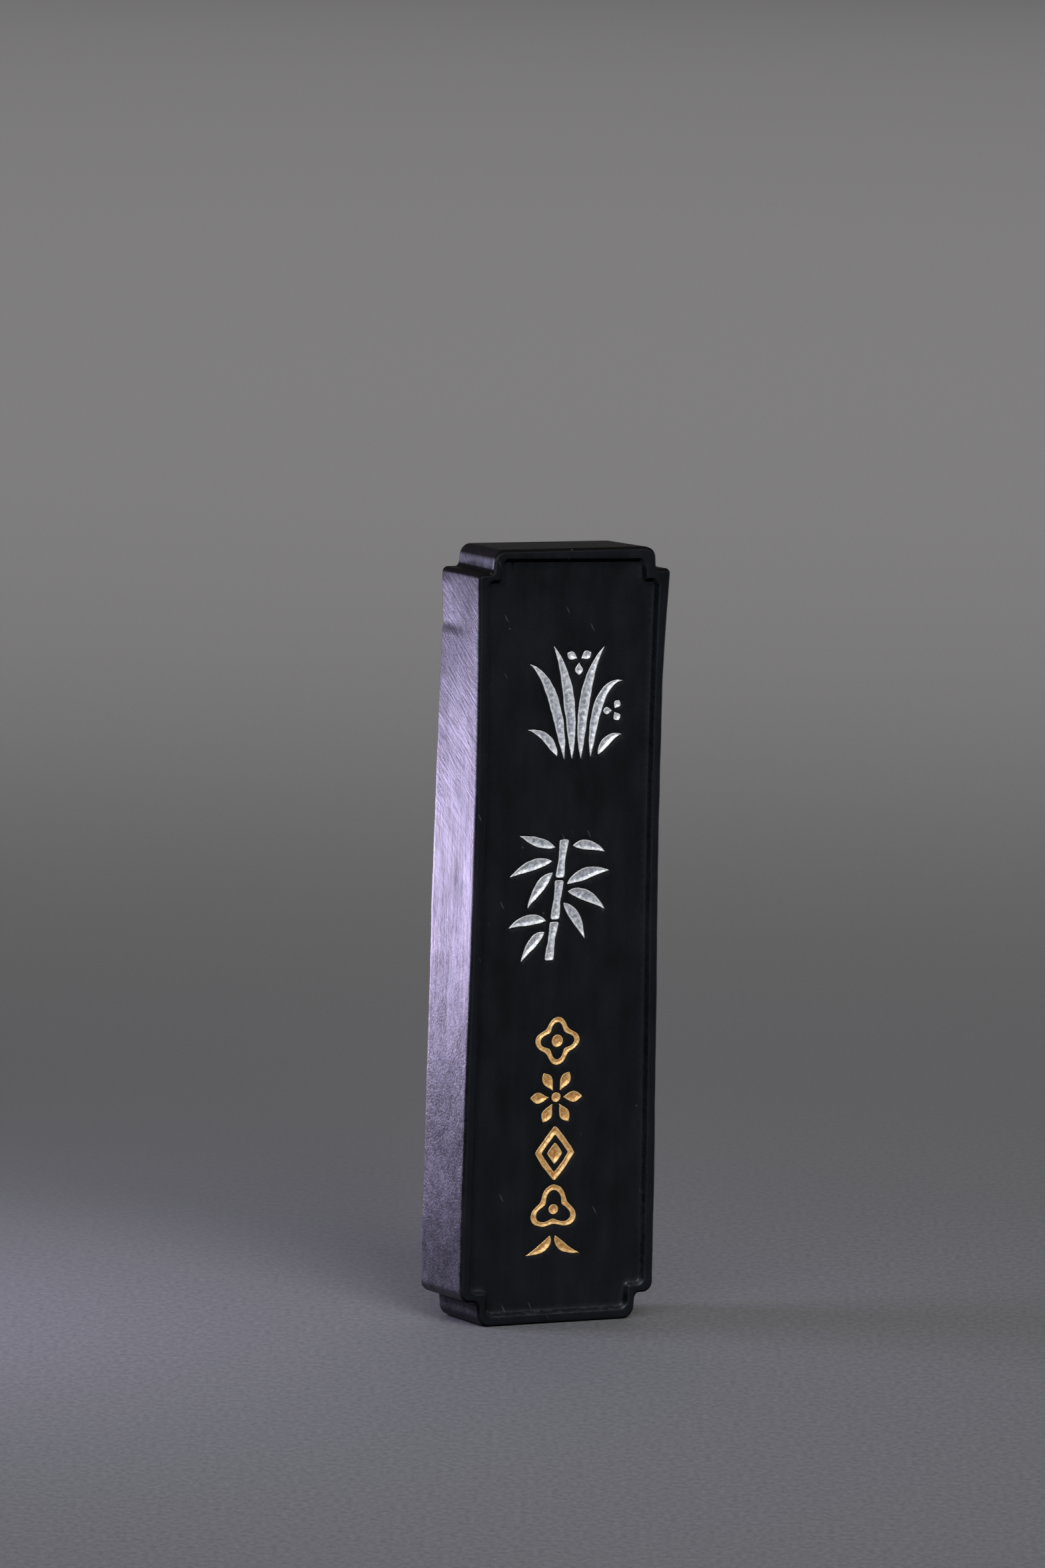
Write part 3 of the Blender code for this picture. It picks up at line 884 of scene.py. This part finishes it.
STICK_CENTRE = Vector((0, 0, 0.045))
CAMERA_AZIMUTH = 27.4
CAMERA_ELEVATION = 7.79
CAMERA_DISTANCE = 1.5
CAMERA_SHIFT = Vector((0, 0.0002, 0))
CAMERA_YAW = 27.28
CAMERA_PITCH = -7.133
CAMERA_ROLL = 1.35
LENS = 297.2
BACKDROP_Z = 0.3
FLOOR_SIZE = 24
CARD_DARK, CARD_PALE = (0.108, 0.108, 0.112), (0.164, 0.164, 0.170)
CARD_FADE_Y = (20.0, 140.0)
STUDIO_GREY = (0.06, 0.06, 0.063, 1)

bpy.ops.mesh.primitive_plane_add(size=FLOOR_SIZE)
floor = bpy.context.object
floor.name = "floor"
card = Surface("card")
fibres = card.noise((1.5, 0.8, 1.0), 4.0, (0, 0, CAMERA_AZIMUTH))
nap = card.math("SUBTRACT", fibres, 0.5)
nap = card.math("MULTIPLY", nap, card.ranged(card.y, *CARD_FADE_Y, 1.0, 0.2))
card.set("Base Color", card.mix(card.ranged(nap, -0.2, 0.2), CARD_DARK, CARD_PALE))
card.set("Roughness", 0.9)
card.bump((nap, 0.05, 1.0))
floor.data.materials.append(card.made)

world = bpy.data.worlds.new("studio")
bpy.context.scene.world = world
world.use_nodes = True
world.node_tree.nodes["Background"].inputs["Color"].default_value = STUDIO_GREY
world.node_tree.nodes["Background"].inputs["Strength"].default_value = 1.0


def area_light(name, azimuth, elevation, distance, size, power, colour):
    """Soft light toward the stick from an azimuth (0 in front, 90 to the right) and elevation."""
    light = bpy.data.lights.new(name, "AREA")
    light.shape = "RECTANGLE"
    light.size, light.size_y = size
    light.energy = power
    light.color = colour
    lamp = bpy.data.objects.new(name, light)
    a, e = math.radians(azimuth), math.radians(elevation)
    away = Vector((math.sin(a) * math.cos(e), -math.cos(a) * math.cos(e), math.sin(e)))
    lamp.location = STICK_CENTRE + away * distance
    lamp.rotation_euler = away.to_track_quat("Z", "Y").to_euler()
    bpy.context.scene.collection.objects.link(lamp)
    return lamp


# The sheen on the sides: low lights that only the cake takes, so they leave no patch on the floor
window = area_light("window", -152.6, -5.2, 0.2, (0.08, 0.03), 0.23, (0.76, 0.66, 1.0))
right_window = area_light("right_window", 91, -4, 0.4, (0.16, 0.3), 0.26, (0.80, 0.76, 1.0))
cake_only = bpy.data.collections.new("cake_only")
cake_only.objects.link(cake)
for lamp in (window, right_window):
    lamp.light_linking.receiver_collection = cake_only
area_light("glow", -114, 21, 0.13, (0.07, 0.07), 0.14, (0.74, 0.70, 1.0))
area_light("key", -5, 30, 2.0, (1.0, 1.0), 22.0, (1.0, 0.99, 0.98))
area_light("fill", -30, 56, 0.3, (0.2, 0.2), 0.4, (0.88, 0.92, 1.0))
backdrop = area_light("backdrop", 152.6, 10, 1.6, (1.6, 2.2), 12.3, (1.0, 0.975, 0.95))
backdrop.location.z = BACKDROP_Z
backdrop.rotation_euler = (0, 0, -math.radians(CAMERA_AZIMUTH))


def camera():
    """The photograph's view."""
    data = bpy.data.cameras.new("camera")
    data.sensor_width = 36
    data.lens = LENS
    data.clip_start, data.clip_end = 0.1, 60
    made = bpy.data.objects.new("camera", data)
    az, el = math.radians(CAMERA_AZIMUTH), math.radians(CAMERA_ELEVATION)
    away = Vector((-math.sin(az) * math.cos(el), -math.cos(az) * math.cos(el), math.sin(el)))
    made.location = STICK_CENTRE + CAMERA_SHIFT + away * CAMERA_DISTANCE
    turn = Matrix.Rotation(-math.radians(CAMERA_YAW), 3, "Z")
    tip = Matrix.Rotation(math.pi / 2 + math.radians(CAMERA_PITCH), 3, "X")
    roll = Matrix.Rotation(math.radians(CAMERA_ROLL), 3, "Z")
    made.rotation_euler = (turn @ tip @ roll).to_euler()
    bpy.context.scene.collection.objects.link(made)
    bpy.context.scene.camera = made


camera()
bpy.context.scene.view_settings.view_transform = "Standard"
